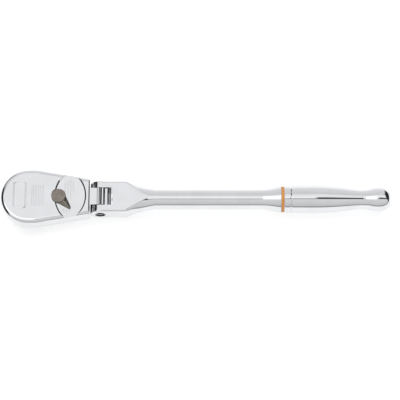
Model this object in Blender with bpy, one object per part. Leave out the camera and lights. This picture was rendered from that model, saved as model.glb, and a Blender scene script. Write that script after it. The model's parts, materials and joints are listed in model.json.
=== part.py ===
"""Flex-head teardrop ratchet wrench, half-inch drive.

The origin is the centre of the drive square's end face. +Z runs up the drive axis to the lever side,
and +X runs from the head along the handle. Sizes are in metres.
"""

import math

import bmesh
import bpy
from mathutils import Matrix, Vector

# overall sizes
TOTAL_LENGTH = 0.3048
SQUARE_ACROSS = 0.0127
SQUARE_LENGTH = 0.015
CLEVIS_WIDTH = 0.0254
CLEVIS_THICK = 0.0157
SHAFT_D = 0.0158
GRIP_D = 0.0216
WAIST_D = 0.01544
KNOB_D = 0.0191
TONGUE_WIDTH = 0.0138

# clearances
GAP = 0.0003
RUNNING = 0.00015
OVERLAP = 0.0004
BEYOND = 0.002

# drive train seen from above: each piece is set out from the one inside it
TEETH = 84
TOOTH_DEPTH = 0.0006
TOOTH_TIP_SHARE = 0.12
MESH_CLEARANCE = 0.00013
COLLAR_OVER_FACE = 0.00355
COLLAR_R = SQUARE_ACROSS / 2 + COLLAR_OVER_FACE
GEAR_TIP_R = COLLAR_R + 0.0027
GEAR_ROOT_R = GEAR_TIP_R - TOOTH_DEPTH
GEAR_ROOM_R = GEAR_TIP_R + 0.0005
JOURNAL_R = GEAR_ROOT_R - 0.0046
WASHER_R = GEAR_ROOT_R - 0.0006
PAWL_PIN_X = GEAR_TIP_R + 0.0033
PAWL_PIN_R = 0.0011
PAWL_ROCK = math.radians(7)
PAWL_OUTER_R = GEAR_TIP_R + 0.0041
TOOTHED_FROM = math.radians(27)
TOOTHED_TO = math.radians(41)

# reversing lever
LEVER_X = PAWL_PIN_X + 0.0070
LEVER_SWING = math.radians(48)
LEVER_CAP_R = 0.0058
LEVER_TIP = 0.0138
LEVER_TIP_R = 0.0011
LEVER_CAP_THICK = 0.0017
STEM_R = 0.0038
CAM_R = 0.0033
CLIP_NECK_R = 0.0029
CLIP_THICK = 0.0005
CLIP_OUTER_R = 0.0050
NOSE_R = 0.0012
NOSE_REACH = 0.0049

# cover plate and head outline
PLATE_R = GEAR_ROOM_R + 0.0040
PLATE_REAR_X = LEVER_X + 0.0061
PLATE_REAR_R = 0.0085
HEAD_RIM = 0.0049
HEAD_NOSE_R = PLATE_R + HEAD_RIM
HEAD_NOSE_X = -0.0008
HEAD_CHEEK_X = 0.0037
HEAD_TAPER = math.radians(10.2)
POCKET_NEAR_X = LEVER_X - 0.0024
POCKET_FAR_X = LEVER_X + 0.0205
SHOULDER_X = POCKET_FAR_X + 0.0029
CORNER_R = 0.0034
HEAD_TOP_ROUND = 0.0030
HEAD_LOW_ROUND = 0.0032
HEAD_LOW_ROUND_TALL = 0.0080

# levels up the drive axis
HEAD_LOW = SQUARE_LENGTH + 0.0005
PLATE_LOW = HEAD_LOW + 0.0004
PLATE_THICK = 0.0018
CAVITY_LOW = PLATE_LOW + PLATE_THICK + GAP
GEAR_LOW = CAVITY_LOW + GAP
GEAR_HIGH = GEAR_LOW + 0.0046
PAWL_LOW = GEAR_LOW + 0.0003
PAWL_HIGH = GEAR_HIGH
WASHER_THICK = 0.0005
WASHER_LOW = GEAR_HIGH + GAP
CAVITY_HIGH = WASHER_LOW + WASHER_THICK + GAP
JOURNAL_LENGTH = 0.0031
JOURNAL_HIGH = GEAR_HIGH + JOURNAL_LENGTH
ROOF_THICK = 0.0013
POCKET_DEPTH = 0.0015
POCKET_FLOOR = JOURNAL_HIGH + GAP + ROOF_THICK
HEAD_TOP = POCKET_FLOOR + POCKET_DEPTH

# flex joint
KNUCKLE_CREST_R = 0.0086
KNUCKLE_VALLEY_R = KNUCKLE_CREST_R - 0.0007
NOTCHES_PER_TURN = 12
AXIS_Z = HEAD_TOP - KNUCKLE_CREST_R - 0.0001
PIN_X = SHOULDER_X + CLEVIS_THICK / 2 + 0.00105
SLOT_WIDTH = TONGUE_WIDTH + 2 * GAP
SLOT_END_X = PIN_X + KNUCKLE_CREST_R + 0.0009
FLEX_PIN_R = 0.0034
NUT_R = FLEX_PIN_R + 0.0006
PLUNGER_R = 0.0021

# handle, set out from its far end
HANDLE_END_X = TOTAL_LENGTH - HEAD_NOSE_R + HEAD_NOSE_X
BLOCK_END_X = SLOT_END_X + 0.0113
SHAFT_START_X = BLOCK_END_X + 0.0198
CLEVIS_EDGE = 0.0016
BAND_X = HANDLE_END_X - 0.0858
BAND_WIDTH = 0.0025
BAND_SIDE = 0.00015
BAND_R = GRIP_D / 2 - 0.00035
BAND_SEAT_R = BAND_R - 0.00095
SWELL_LENGTH = 0.0162
GROOVE_X = BAND_X + 0.0072
CREST_X = HANDLE_END_X - 0.0620
WAIST_X = HANDLE_END_X - 0.0215
KNOB_X = HANDLE_END_X - 0.0100

MERGE = 1e-6


def material(name, colour, roughness, metallic):
    made = bpy.data.materials.new(name)
    made.use_nodes = True
    shader = made.node_tree.nodes["Principled BSDF"]
    shader.inputs["Base Color"].default_value = (*colour, 1)
    shader.inputs["Roughness"].default_value = roughness
    shader.inputs["Metallic"].default_value = metallic
    made.diffuse_color = (*colour, 1)
    return made


def collection(name):
    made = bpy.data.collections.new(name)
    bpy.context.scene.collection.children.link(made)
    return made


for old in list(bpy.data.objects):
    bpy.data.objects.remove(old, do_unlink=True)
parts = collection("ratchet wrench")
cutters = collection("cutters")
cutters.hide_render = True


def add(name, shape, look=None, smooth=False, into=None):
    """An object that holds the bmesh shape, in the parts or among the cutters."""
    mesh = bpy.data.meshes.new(name)
    bmesh.ops.recalc_face_normals(shape, faces=shape.faces)
    shape.to_mesh(mesh)
    shape.free()
    made = bpy.data.objects.new(name, mesh)
    (into or parts).objects.link(made)
    if look:
        mesh.materials.append(look)
    if smooth:
        mesh.shade_smooth()
    return made


def tool(name, shape):
    made = add(name, shape, into=cutters)
    made.hide_render = True
    made.display_type = "WIRE"
    return made


def boolean(target, other, operation):
    step = target.modifiers.new(f"{operation.lower()} {other.name}", "BOOLEAN")
    step.operation = operation
    step.solver = "EXACT"
    step.object = other


def cut(target, *others):
    for other in others:
        boolean(target, other, "DIFFERENCE")


def join(target, *others):
    for other in others:
        boolean(target, other, "UNION")


def prism(outline, low, high):
    """A closed outline in X and Y, raised from low to high."""
    shape = bmesh.new()
    ring = [shape.verts.new((x, y, low)) for x, y in outline]
    face = shape.faces.new(ring)
    raised = bmesh.ops.extrude_face_region(shape, geom=[face])
    upper = [v for v in raised["geom"] if isinstance(v, bmesh.types.BMVert)]
    bmesh.ops.translate(shape, verts=upper, vec=(0, 0, high - low))
    return shape


def level_edges(shape, level):
    return [e for e in shape.edges if all(abs(v.co.z - level) < MERGE for v in e.verts)]


def bevel(shape, edges, width, segments):
    bmesh.ops.bevel(
        shape, geom=edges, offset=width, offset_type="OFFSET", segments=segments, profile=0.5, affect="EDGES"
    )


def cylinder(radius, low, high, sides=48):
    shape = bmesh.new()
    bmesh.ops.create_cone(
        shape,
        cap_ends=True,
        segments=sides,
        radius1=radius,
        radius2=radius,
        depth=high - low,
        matrix=Matrix.Translation((0, 0, (low + high) / 2)),
    )
    return shape


def turned(profile, sides=48):
    """A solid of revolution about Z: each (radius, height) becomes a ring, and radius 0 an end point."""
    shape = bmesh.new()
    chain = [shape.verts.new((radius, 0, height)) for radius, height in profile]
    edges = [shape.edges.new(pair) for pair in zip(chain, chain[1:])]
    bmesh.ops.spin(
        shape,
        geom=chain + edges,
        cent=(0, 0, 0),
        axis=(0, 0, 1),
        angle=2 * math.pi,
        steps=sides,
        use_merge=True,
    )
    bmesh.ops.remove_doubles(shape, verts=shape.verts, dist=MERGE)
    return shape


def placed(shape, *steps):
    for step in steps:
        bmesh.ops.transform(shape, matrix=step, verts=shape.verts)
    return shape


def shift(x=0.0, y=0.0, z=0.0):
    return Matrix.Translation((x, y, z))


def turn(angle, axis):
    return Matrix.Rotation(angle, 4, axis)


def arc(cx, cy, radius, start, end, steps):
    angles = [start + (end - start) * i / steps for i in range(steps + 1)]
    return [(cx + radius * math.cos(a), cy + radius * math.sin(a)) for a in angles]


def mirrored(half):
    """A closed outline from its half with y above 0, listed from the +X end to the -X end or back."""
    return half + [(x, -y) for x, y in reversed(half) if abs(y) > MERGE]


def coil(name, radius, wire, turns, length, look, place):
    """A spring along +Z from 0, with filled ends, as a mesh object."""
    curve = bpy.data.curves.new(name, "CURVE")
    curve.dimensions = "3D"
    curve.bevel_depth = wire
    curve.bevel_resolution = 1
    curve.use_fill_caps = True
    count = int(turns * 10) + 1
    line = curve.splines.new("POLY")
    line.points.add(count - 1)
    for i, point in enumerate(line.points):
        angle = 2 * math.pi * turns * i / (count - 1)
        rise = wire + (length - 2 * wire) * i / (count - 1)
        point.co = (radius * math.cos(angle), radius * math.sin(angle), rise, 1)
    guide = bpy.data.objects.new(name + " guide", curve)
    parts.objects.link(guide)
    bpy.context.view_layer.update()
    mesh = bpy.data.meshes.new_from_object(guide.evaluated_get(bpy.context.evaluated_depsgraph_get()))
    bpy.data.objects.remove(guide, do_unlink=True)
    shape = bmesh.new()
    shape.from_mesh(mesh)
    bpy.data.meshes.remove(mesh)
    bmesh.ops.remove_doubles(shape, verts=shape.verts, dist=MERGE)
    return add(name, placed(shape, place), look, smooth=True)


chrome = material("polished chrome", (0.78, 0.79, 0.80), 0.08, 1.0)
satin = material("warm satin metal", (0.27, 0.24, 0.20), 0.38, 1.0)
steel = material("bare tool steel", (0.42, 0.41, 0.40), 0.35, 1.0)
spring_wire = material("spring wire", (0.50, 0.50, 0.52), 0.30, 1.0)
dark_screw = material("blackened screw steel", (0.06, 0.06, 0.065), 0.42, 1.0)
band_orange = material("orange band", (0.80, 0.33, 0.10), 0.45, 0.0)


# ---------------------------------------------------------------- head housing

def flank_y(x):
    """Half the head's width on its straight flank."""
    return (HEAD_NOSE_R - math.sin(HEAD_TAPER) * (x - HEAD_CHEEK_X)) / math.cos(HEAD_TAPER)


def head_outline():
    corner_x = SHOULDER_X - CORNER_R
    corner_y = flank_y(corner_x) - CORNER_R
    start = math.pi / 2 - HEAD_TAPER
    half = [(SHOULDER_X, 0.0)]
    half += arc(corner_x, corner_y, CORNER_R, 0, start, 6)
    half += arc(HEAD_CHEEK_X, 0, HEAD_NOSE_R, start, math.pi / 2, 3)
    half += arc(HEAD_NOSE_X, 0, HEAD_NOSE_R, math.pi / 2, math.pi, 24)
    half[-1] = (half[-1][0], 0.0)
    return mirrored(half)


shape = prism(head_outline(), HEAD_LOW, HEAD_TOP)
bevel(shape, level_edges(shape, HEAD_TOP), HEAD_TOP_ROUND, 4)
bevel(shape, level_edges(shape, HEAD_LOW), HEAD_LOW_ROUND, 5)
# the lower round is drawn out taller than it is wide
for v in shape.verts:
    if v.co.z < HEAD_LOW + HEAD_LOW_ROUND + MERGE:
        v.co.z = HEAD_LOW + (v.co.z - HEAD_LOW) * HEAD_LOW_ROUND_TALL / HEAD_LOW_ROUND
head = add("head_housing", shape, chrome)

TONGUE_ROOT = 0.006


def knuckle_outline():
    """The tongue's side view, as X from the joint screw and height from the handle's axis."""
    low_y = HEAD_LOW + GAP - AXIS_Z
    crest = math.pi / NOTCHES_PER_TURN
    middle = (KNUCKLE_CREST_R + KNUCKLE_VALLEY_R) / 2
    swell = (KNUCKLE_CREST_R - KNUCKLE_VALLEY_R) / 2
    root_x = SHOULDER_X - PIN_X - TONGUE_ROOT
    points = [(root_x, KNUCKLE_CREST_R * math.cos(crest))]
    count = 8 * (NOTCHES_PER_TURN // 2 + 1)
    for i in range(count + 1):
        angle = math.pi / 2 + crest - (math.pi + 2 * crest) * i / count
        radius = middle - swell * math.cos(NOTCHES_PER_TURN * angle)
        points.append((radius * math.cos(angle), radius * math.sin(angle)))
    points.append((SHOULDER_X - PIN_X, low_y))
    points.append((root_x, low_y))
    return points


upright = turn(math.pi / 2, "X")
shape = placed(
    prism(knuckle_outline(), -TONGUE_WIDTH / 2, TONGUE_WIDTH / 2), upright, shift(PIN_X, 0, AXIS_Z)
)
tongue = tool("tongue", shape)
join(head, tongue)


# the crescent steps run out through the head's flanks
POCKET_REACH = flank_y((POCKET_NEAR_X + POCKET_FAR_X) / 2) + BEYOND
NEAR_STEP_R = POCKET_REACH + 0.0054
FAR_STEP_R = POCKET_REACH + 0.0028


def pocket_line(flare):
    """The lever pocket between its two crescent steps, each step set back by flare."""
    near_half = math.asin(POCKET_REACH / NEAR_STEP_R)
    far_half = math.asin(POCKET_REACH / FAR_STEP_R)
    near = arc(
        POCKET_NEAR_X + NEAR_STEP_R, 0, NEAR_STEP_R + flare, math.pi - near_half, math.pi + near_half, 16
    )
    far = arc(POCKET_FAR_X - FAR_STEP_R, 0, FAR_STEP_R + flare, -far_half, far_half, 16)
    return near + far


def between(lower, low, upper, high):
    """A closed solid between two outlines of equal count."""
    shape = bmesh.new()
    ring_a = [shape.verts.new((x, y, low)) for x, y in lower]
    ring_b = [shape.verts.new((x, y, high)) for x, y in upper]
    shape.faces.new(ring_a)
    shape.faces.new(list(reversed(ring_b)))
    for i in range(len(ring_a)):
        j = (i + 1) % len(ring_a)
        shape.faces.new((ring_a[i], ring_b[i], ring_b[j], ring_a[j]))
    return shape


POCKET_SLOPE = 0.0009
pocket_high = HEAD_TOP + POCKET_DEPTH
pocket = tool(
    "lever pocket",
    between(pocket_line(0), POCKET_FLOOR, pocket_line(2 * POCKET_SLOPE), pocket_high),
)

cap_seat = tool(
    "cap seat",
    placed(cylinder(LEVER_CAP_R + GAP, POCKET_FLOOR, pocket_high, 40), shift(LEVER_X)),
)


def pear(front_r, rear_x, rear_r, steps=20):
    """The outline round a circle at the drive axis and a smaller one at rear_x."""
    lean = math.asin((front_r - rear_r) / rear_x)
    half = arc(rear_x, 0, rear_r, 0, math.pi / 2 - lean, steps // 2)
    half += arc(0, 0, front_r, math.pi / 2 - lean, math.pi, steps)
    half[-1] = (half[-1][0], 0.0)
    return mirrored(half)


# the pawl's tips swing out to this half width, and its room opens into the gear's
PAWL_ROOM_HALF = PAWL_OUTER_R * math.sin(TOOTHED_TO) + 0.00175
PAWL_ROOM_REAR_R = CLIP_OUTER_R + 0.0004
PAWL_ROOM_CORNER_X = PAWL_PIN_X - 0.0009
PAWL_ROOM_FRONT_X = PAWL_PIN_X - 0.0099
# this much lower than the gear's room, so that the two ceilings never share a face
STEP_DOWN = 0.00002

plate_seat = tool(
    "plate seat",
    prism(pear(PLATE_R + GAP, PLATE_REAR_X, PLATE_REAR_R + GAP), HEAD_LOW - BEYOND, CAVITY_LOW),
)
gear_room = tool("gear room", cylinder(GEAR_ROOM_R, CAVITY_LOW - OVERLAP, CAVITY_HIGH, 64))
half = arc(LEVER_X, 0, PAWL_ROOM_REAR_R, 0, math.pi / 3, 6)
half += [
    (PAWL_ROOM_CORNER_X, PAWL_ROOM_HALF),
    (PAWL_ROOM_FRONT_X, PAWL_ROOM_HALF),
    (PAWL_ROOM_FRONT_X, 0.0),
]
pawl_room = tool(
    "pawl room", prism(mirrored(half), CAVITY_LOW - 1.5 * OVERLAP, CAVITY_HIGH - STEP_DOWN)
)
journal_bore = tool(
    "journal bore",
    cylinder(JOURNAL_R + GAP, CAVITY_HIGH - OVERLAP, JOURNAL_HIGH + GAP),
)
stem_bore = tool(
    "stem bore",
    placed(cylinder(STEM_R + RUNNING, CAVITY_HIGH - OVERLAP, HEAD_TOP, 40), shift(LEVER_X)),
)
PIN_DEPTH = 0.0022
pawl_pin_bore = tool(
    "pawl pin bore",
    placed(
        cylinder(PAWL_PIN_R + RUNNING, CAVITY_HIGH - OVERLAP, CAVITY_HIGH + PIN_DEPTH + GAP, 24),
        shift(PAWL_PIN_X),
    ),
)
knuckle_bore = tool(
    "knuckle bore",
    placed(
        cylinder(FLEX_PIN_R + RUNNING, -TONGUE_WIDTH, TONGUE_WIDTH, 40), upright, shift(PIN_X, 0, AXIS_Z)
    ),
)

# three screws hold the cover plate: two beside the gear and one behind the lever
SCREW_R = 0.0010
SCREW_HEAD_R = 0.0016
SCREW_HEAD_HIGH = 0.0008
SCREW_LENGTH = 0.0052
SCREW_POINT = 0.0003
SCREW_KEY_R = 0.0008
SCREW_KEY_DEEP = 0.0006
SCREW_CIRCLE_R = (GEAR_ROOM_R + PLATE_R) / 2 - 0.0001
SCREW_ANGLE = math.radians(120)
REAR_SCREW_X = PLATE_REAR_X + 0.0028
screw_places = [
    (SCREW_CIRCLE_R * math.cos(SCREW_ANGLE), SCREW_CIRCLE_R * math.sin(SCREW_ANGLE)),
    (SCREW_CIRCLE_R * math.cos(SCREW_ANGLE), -SCREW_CIRCLE_R * math.sin(SCREW_ANGLE)),
    (REAR_SCREW_X, 0.0),
]

cut(head, pocket, cap_seat, plate_seat, gear_room, pawl_room)
cut(head, journal_bore, stem_bore, pawl_pin_bore, knuckle_bore)
for i, (x, y) in enumerate(screw_places):
    hole = cylinder(SCREW_R + RUNNING, CAVITY_LOW - OVERLAP, PLATE_LOW + SCREW_LENGTH + GAP, 20)
    cut(head, tool(f"screw hole {i + 1}", placed(hole, shift(x, y))))

# ---------------------------------------------------------------- cover plate and its screws
PLATE_HIGH = PLATE_LOW + PLATE_THICK
plate = add("cover_plate", prism(pear(PLATE_R, PLATE_REAR_X, PLATE_REAR_R), PLATE_LOW, PLATE_HIGH), chrome)
plate_bore = tool("collar hole", cylinder(COLLAR_R + RUNNING, PLATE_LOW - BEYOND, CAVITY_LOW + BEYOND, 56))
PAWL_PIN_LOW = PLATE_LOW + 0.0004
pin_seat = tool(
    "pin seat",
    placed(cylinder(PAWL_PIN_R + RUNNING, PAWL_PIN_LOW - GAP, CAVITY_LOW + BEYOND, 24), shift(PAWL_PIN_X)),
)
cut(plate, plate_bore, pin_seat)
for i, (x, y) in enumerate(screw_places):
    sink = turned(
        [
            (0, PLATE_LOW - BEYOND),
            (SCREW_HEAD_R + RUNNING, PLATE_LOW - BEYOND),
            (SCREW_HEAD_R + RUNNING, PLATE_LOW + RUNNING),
            (SCREW_R + RUNNING, PLATE_LOW + SCREW_HEAD_HIGH + RUNNING),
            (SCREW_R + RUNNING, CAVITY_LOW + BEYOND),
            (0, CAVITY_LOW + BEYOND),
        ],
        20,
    )
    cut(plate, tool(f"screw sink {i + 1}", placed(sink, shift(x, y))))
    body = turned(
        [
            (0, PLATE_LOW),
            (SCREW_HEAD_R, PLATE_LOW),
            (SCREW_R, PLATE_LOW + SCREW_HEAD_HIGH),
            (SCREW_R, PLATE_LOW + SCREW_LENGTH - SCREW_POINT),
            (SCREW_R - SCREW_POINT, PLATE_LOW + SCREW_LENGTH),
            (0, PLATE_LOW + SCREW_LENGTH),
        ],
        20,
    )
    screw = add(f"cover_screw_{i + 1}", placed(body, shift(x, y)), dark_screw)
    socket = cylinder(SCREW_KEY_R, PLATE_LOW - BEYOND, PLATE_LOW + SCREW_KEY_DEEP, 6)
    cut(screw, tool(f"screw socket {i + 1}", placed(socket, shift(x, y))))

# ---------------------------------------------------------------- drive gear with its square


def gear_outline():
    pitch = 2 * math.pi / TEETH
    tooth = ((-0.5, GEAR_ROOT_R), (-TOOTH_TIP_SHARE, GEAR_TIP_R), (TOOTH_TIP_SHARE, GEAR_TIP_R))
    points = []
    for i in range(TEETH):
        for share, radius in tooth:
            angle = (i + share) * pitch
            points.append((radius * math.cos(angle), radius * math.sin(angle)))
    return points


gear = add("drive_gear", prism(gear_outline(), GEAR_LOW, GEAR_HIGH), steel)
COLLAR_EDGE = 0.0004
SQUARE_CORNER = 0.0011
SQUARE_END_EDGE = 0.0009
collar = turned(
    [
        (0, SQUARE_LENGTH),
        (COLLAR_R - COLLAR_EDGE, SQUARE_LENGTH),
        (COLLAR_R, SQUARE_LENGTH + COLLAR_EDGE),
        (COLLAR_R, GEAR_LOW + OVERLAP),
        (0, GEAR_LOW + OVERLAP),
    ],
    56,
)
journal = cylinder(JOURNAL_R, GEAR_HIGH - OVERLAP, JOURNAL_HIGH)
side = SQUARE_ACROSS / 2
square = prism([(-side, -side), (side, -side), (side, side), (-side, side)], 0, SQUARE_LENGTH + OVERLAP)
corners = [e for e in square.edges if abs(e.verts[0].co.z - e.verts[1].co.z) > MERGE]
bevel(square, corners, SQUARE_CORNER, 3)
bevel(square, level_edges(square, 0), SQUARE_END_EDGE, 2)
join(gear, tool("collar", collar), tool("journal", journal), tool("square", square))

BALL_R = 0.0020
BALL_PROUD = 0.0009
BALL_Z = SQUARE_LENGTH / 2
BALL_LIP = 0.00025
LIP_HOLE_R = BALL_R - 0.00008
BALL_HOLE_DEPTH = 0.0098
# the hole opens through the square's -Y face, so its tool is built along +Z from that face inwards
inwards = turn(-math.pi / 2, "X")
hole = turned(
    [
        (0, -BEYOND),
        (LIP_HOLE_R, -BEYOND),
        (LIP_HOLE_R, BALL_LIP),
        (BALL_R + RUNNING, BALL_LIP),
        (BALL_R + RUNNING, BALL_HOLE_DEPTH),
        (0, BALL_HOLE_DEPTH),
    ],
    32,
)
cut(gear, tool("ball hole", placed(hole, inwards, shift(0, -side, BALL_Z))))
ball = bmesh.new()
bmesh.ops.create_uvsphere(ball, u_segments=24, v_segments=14, radius=BALL_R)
ball_y = -side + BALL_R - BALL_PROUD
add("drive_ball", placed(ball, shift(0, ball_y, BALL_Z)), steel, smooth=True)
spring_start = ball_y + BALL_R + RUNNING
BALL_SPRING_R = 0.0014
BALL_SPRING_WIRE = 0.0002
coil(
    "drive_ball_spring",
    BALL_SPRING_R,
    BALL_SPRING_WIRE,
    5,
    -side + BALL_HOLE_DEPTH - RUNNING - spring_start,
    spring_wire,
    shift(0, spring_start, BALL_Z) @ inwards,
)

# ---------------------------------------------------------------- thrust washer over the gear
washer = turned(
    [
        (JOURNAL_R + GAP, WASHER_LOW),
        (WASHER_R, WASHER_LOW),
        (WASHER_R, WASHER_LOW + WASHER_THICK),
        (JOURNAL_R + GAP, WASHER_LOW + WASHER_THICK),
        (JOURNAL_R + GAP, WASHER_LOW),
    ]
)
add("thrust_washer", washer, steel)

# ---------------------------------------------------------------- pawl, its pin and the lever's plunger
NOSE_CENTRE = NOSE_REACH - NOSE_R
NOSE_CLEARANCE = 0.00012
PAWL_MIDDLE = 0.20
TRACK_FROM = 0.42
TRACK_REACH = 1.12
TRACK_STEPS = 8
TRACK_PROBE = 0.01


def about_pin(x, y, angle):
    """A point turned by angle about the pawl pin."""
    dx, dy = x - PAWL_PIN_X, y
    c, s = math.cos(angle), math.sin(angle)
    return PAWL_PIN_X + dx * c - dy * s, dx * s + dy * c


def tooth_radius(angle):
    """The gear's radius at this angle from the middle of a tooth."""
    share = abs((angle * TEETH / (2 * math.pi) + 0.5) % 1 - 0.5)
    slope = max(0.0, share - TOOTH_TIP_SHARE) / (0.5 - TOOTH_TIP_SHARE)
    return GEAR_TIP_R + (GEAR_ROOT_R - GEAR_TIP_R) * slope


def nose_centre(swing):
    """The plunger nose's centre as the rocked pawl meets it, with the lever swung this far."""
    rock = PAWL_ROCK * swing / LEVER_SWING
    x = LEVER_X - NOSE_CENTRE * math.cos(swing)
    return Vector(about_pin(x, NOSE_CENTRE * math.sin(swing), -rock))


def pawl_half():
    """The half with y above 0, drawn where its teeth are in mesh and then turned back to the middle."""
    relief = GEAR_TIP_R + GAP
    inner = arc(0, 0, relief, PAWL_MIDDLE, TOOTHED_FROM, 5)
    pitch = 2 * math.pi / TEETH
    first = math.ceil(TOOTHED_FROM / pitch - 0.5)
    last = math.floor(TOOTHED_TO / pitch - 0.5)
    toothed = []
    for i in range(first, last + 1):
        for share in (-TOOTH_TIP_SHARE, TOOTH_TIP_SHARE, 0.5):
            angle = (i + share) * pitch
            radius = tooth_radius(angle) + 2 * MESH_CLEARANCE
            if TOOTHED_FROM < angle < TOOTHED_TO:
                toothed.append((radius * math.cos(angle), radius * math.sin(angle)))
    toothed.append((relief * math.cos(TOOTHED_TO), relief * math.sin(TOOTHED_TO)))
    outer = arc(0, 0, PAWL_OUTER_R, TOOTHED_TO, TRACK_FROM, 6)
    points = [about_pin(x, y, -PAWL_ROCK) for x, y in inner + toothed + outer]
    # the back is the track that the plunger's nose runs along while the lever swings
    track = []
    for i in range(TRACK_STEPS, -1, -1):
        swing = LEVER_SWING * TRACK_REACH * i / TRACK_STEPS
        centre = nose_centre(swing)
        along = (nose_centre(swing + TRACK_PROBE) - centre).normalized()
        spot = centre + Vector((-along.y, along.x)) * (NOSE_R + NOSE_CLEARANCE)
        track.append((spot.x, spot.y))
    track[-1] = (track[-1][0], 0.0)
    points += track
    return [(points[0][0], 0.0)] + points


shape = prism(mirrored(pawl_half()), PAWL_LOW, PAWL_HIGH)
rocked = shift(PAWL_PIN_X) @ turn(PAWL_ROCK, "Z") @ shift(-PAWL_PIN_X)
pawl = add("pawl", placed(shape, rocked), steel)
cut(
    pawl,
    tool(
        "pawl hole",
        placed(
            cylinder(PAWL_PIN_R + RUNNING, PAWL_LOW - BEYOND, PAWL_HIGH + BEYOND, 24), shift(PAWL_PIN_X)
        ),
    ),
)
add(
    "pawl_pin",
    placed(cylinder(PAWL_PIN_R, PAWL_PIN_LOW, CAVITY_HIGH + PIN_DEPTH, 24), shift(PAWL_PIN_X)),
    steel,
)

# ---------------------------------------------------------------- reversing lever
CAP_LOW = POCKET_FLOOR + GAP
CAP_HIGH = CAP_LOW + LEVER_CAP_THICK
CAP_EDGE = 0.0004
CAM_LOW = PAWL_LOW - 0.0001
CAM_HIGH = PAWL_HIGH + 0.0003
CLIP_PLAY = 0.0001
CLIP_LOW = CAM_HIGH + CLIP_PLAY
NECK_HIGH = CLIP_LOW + CLIP_THICK + CLIP_PLAY

# the lever points away from the drive axis and towards -Y, and its plunger points the other way
pointing = shift(LEVER_X) @ turn(-LEVER_SWING, "Z")
lean = math.asin((LEVER_CAP_R - LEVER_TIP_R) / (LEVER_TIP - LEVER_TIP_R))
# the tab's sides are drawn in a little from the straight line between tip and cap
TIP_TURN = 0.12
CAP_TURN = 0.32
half = arc(LEVER_TIP - LEVER_TIP_R, 0, LEVER_TIP_R, 0, math.pi / 2 - lean - TIP_TURN, 4)
half += arc(0, 0, LEVER_CAP_R, math.pi / 2 - lean - CAP_TURN, math.pi, 16)
half[-1] = (half[-1][0], 0.0)
cap = prism(mirrored(half), CAP_LOW, CAP_HIGH)
bevel(cap, level_edges(cap, CAP_HIGH), CAP_EDGE, 2)
lever = add("reversing_lever", placed(cap, pointing), satin)
stem = turned(
    [
        (0, CAM_LOW),
        (CAM_R, CAM_LOW),
        (CAM_R, CAM_HIGH),
        (CLIP_NECK_R, CAM_HIGH),
        (CLIP_NECK_R, NECK_HIGH),
        (STEM_R, NECK_HIGH),
        (STEM_R, CAP_LOW + OVERLAP),
        (0, CAP_LOW + OVERLAP),
    ],
    40,
)
join(lever, tool("stem", placed(stem, shift(LEVER_X))))
NOSE_Z = (PAWL_LOW + PAWL_HIGH) / 2
BORE_FLOOR = -0.0022
PLUNGER_BACK = 0.0013
NOSE_RINGS = 6
# the plunger's axis is built along +Z and then laid along the lever's back
laid = shift(LEVER_X, 0, NOSE_Z) @ turn(math.pi - LEVER_SWING, "Z") @ turn(math.pi / 2, "Y")
cut(lever, tool("plunger bore", placed(cylinder(NOSE_R + RUNNING, BORE_FLOOR, NOSE_REACH, 24), laid)))
nose = [(0, PLUNGER_BACK), (NOSE_R, PLUNGER_BACK), (NOSE_R, NOSE_CENTRE)]
for i in range(1, NOSE_RINGS):
    angle = math.pi / 2 * i / NOSE_RINGS
    nose.append((NOSE_R * math.cos(angle), NOSE_CENTRE + NOSE_R * math.sin(angle)))
nose.append((0, NOSE_REACH))
add("pawl_plunger", placed(turned(nose, 24), laid), steel, smooth=True)
PAWL_SPRING_R = 0.00085
PAWL_SPRING_WIRE = 0.00016
coil(
    "pawl_spring",
    PAWL_SPRING_R,
    PAWL_SPRING_WIRE,
    4,
    PLUNGER_BACK - BORE_FLOOR - 2 * RUNNING,
    spring_wire,
    laid @ shift(0, 0, BORE_FLOOR + RUNNING),
)

clip_inner = CLIP_NECK_R + RUNNING
CLIP_OPENING = math.radians(38)
inner = arc(0, 0, clip_inner, CLIP_OPENING, 2 * math.pi - CLIP_OPENING, 24)
outer = arc(0, 0, CLIP_OUTER_R, 2 * math.pi - CLIP_OPENING, CLIP_OPENING, 24)
add(
    "lever_clip",
    placed(prism(inner + outer, CLIP_LOW, CLIP_LOW + CLIP_THICK), shift(LEVER_X)),
    spring_wire,
)

# ---------------------------------------------------------------- handle
RING = 40


def rounded_section(half_width, half_height, corner):
    """Points round a rounded rectangle in Y and Z, the same count whatever its shape."""
    corner = min(corner, half_width, half_height)
    per = RING // 4
    points = []
    for quarter in range(4):
        cy = (half_width - corner) * (1 if quarter in (0, 3) else -1)
        cz = (half_height - corner) * (1 if quarter in (0, 1) else -1)
        for i in range(per):
            angle = math.pi / 2 * (quarter + i / (per - 1))
            points.append((cy + corner * math.cos(angle), cz + corner * math.sin(angle)))
    return points


def ease(share):
    return share * share * (3 - 2 * share)


# each pair is a share of the way along and of the change in radius
SWELL_CURVE = ((0, 0), (0.27, 0.09), (0.46, 0.32), (0.70, 0.68), (1, 1))
GRIP_CURVE = (
    (0, 0),
    (0.16, 0.03),
    (0.35, 0.16),
    (0.54, 0.37),
    (0.69, 0.65),
    (0.81, 0.86),
    (0.92, 0.98),
    (1, 1),
)
KNOB_CURVE = ((0.27, 0.16), (0.53, 0.62), (0.79, 0.95), (1, 1))
CAP_CURVE = ((0.12, 0.006), (0.42, 0.055), (0.66, 0.15), (0.83, 0.30), (0.94, 0.50), (0.992, 0.73))
GROOVE_DEEP = 0.00045
GROOVE_WIDE = 0.0010


def along(curve, start_x, end_x, start_r, end_r):
    return [(start_x + (end_x - start_x) * a, start_r + (end_r - start_r) * b) for a, b in curve]


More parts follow.
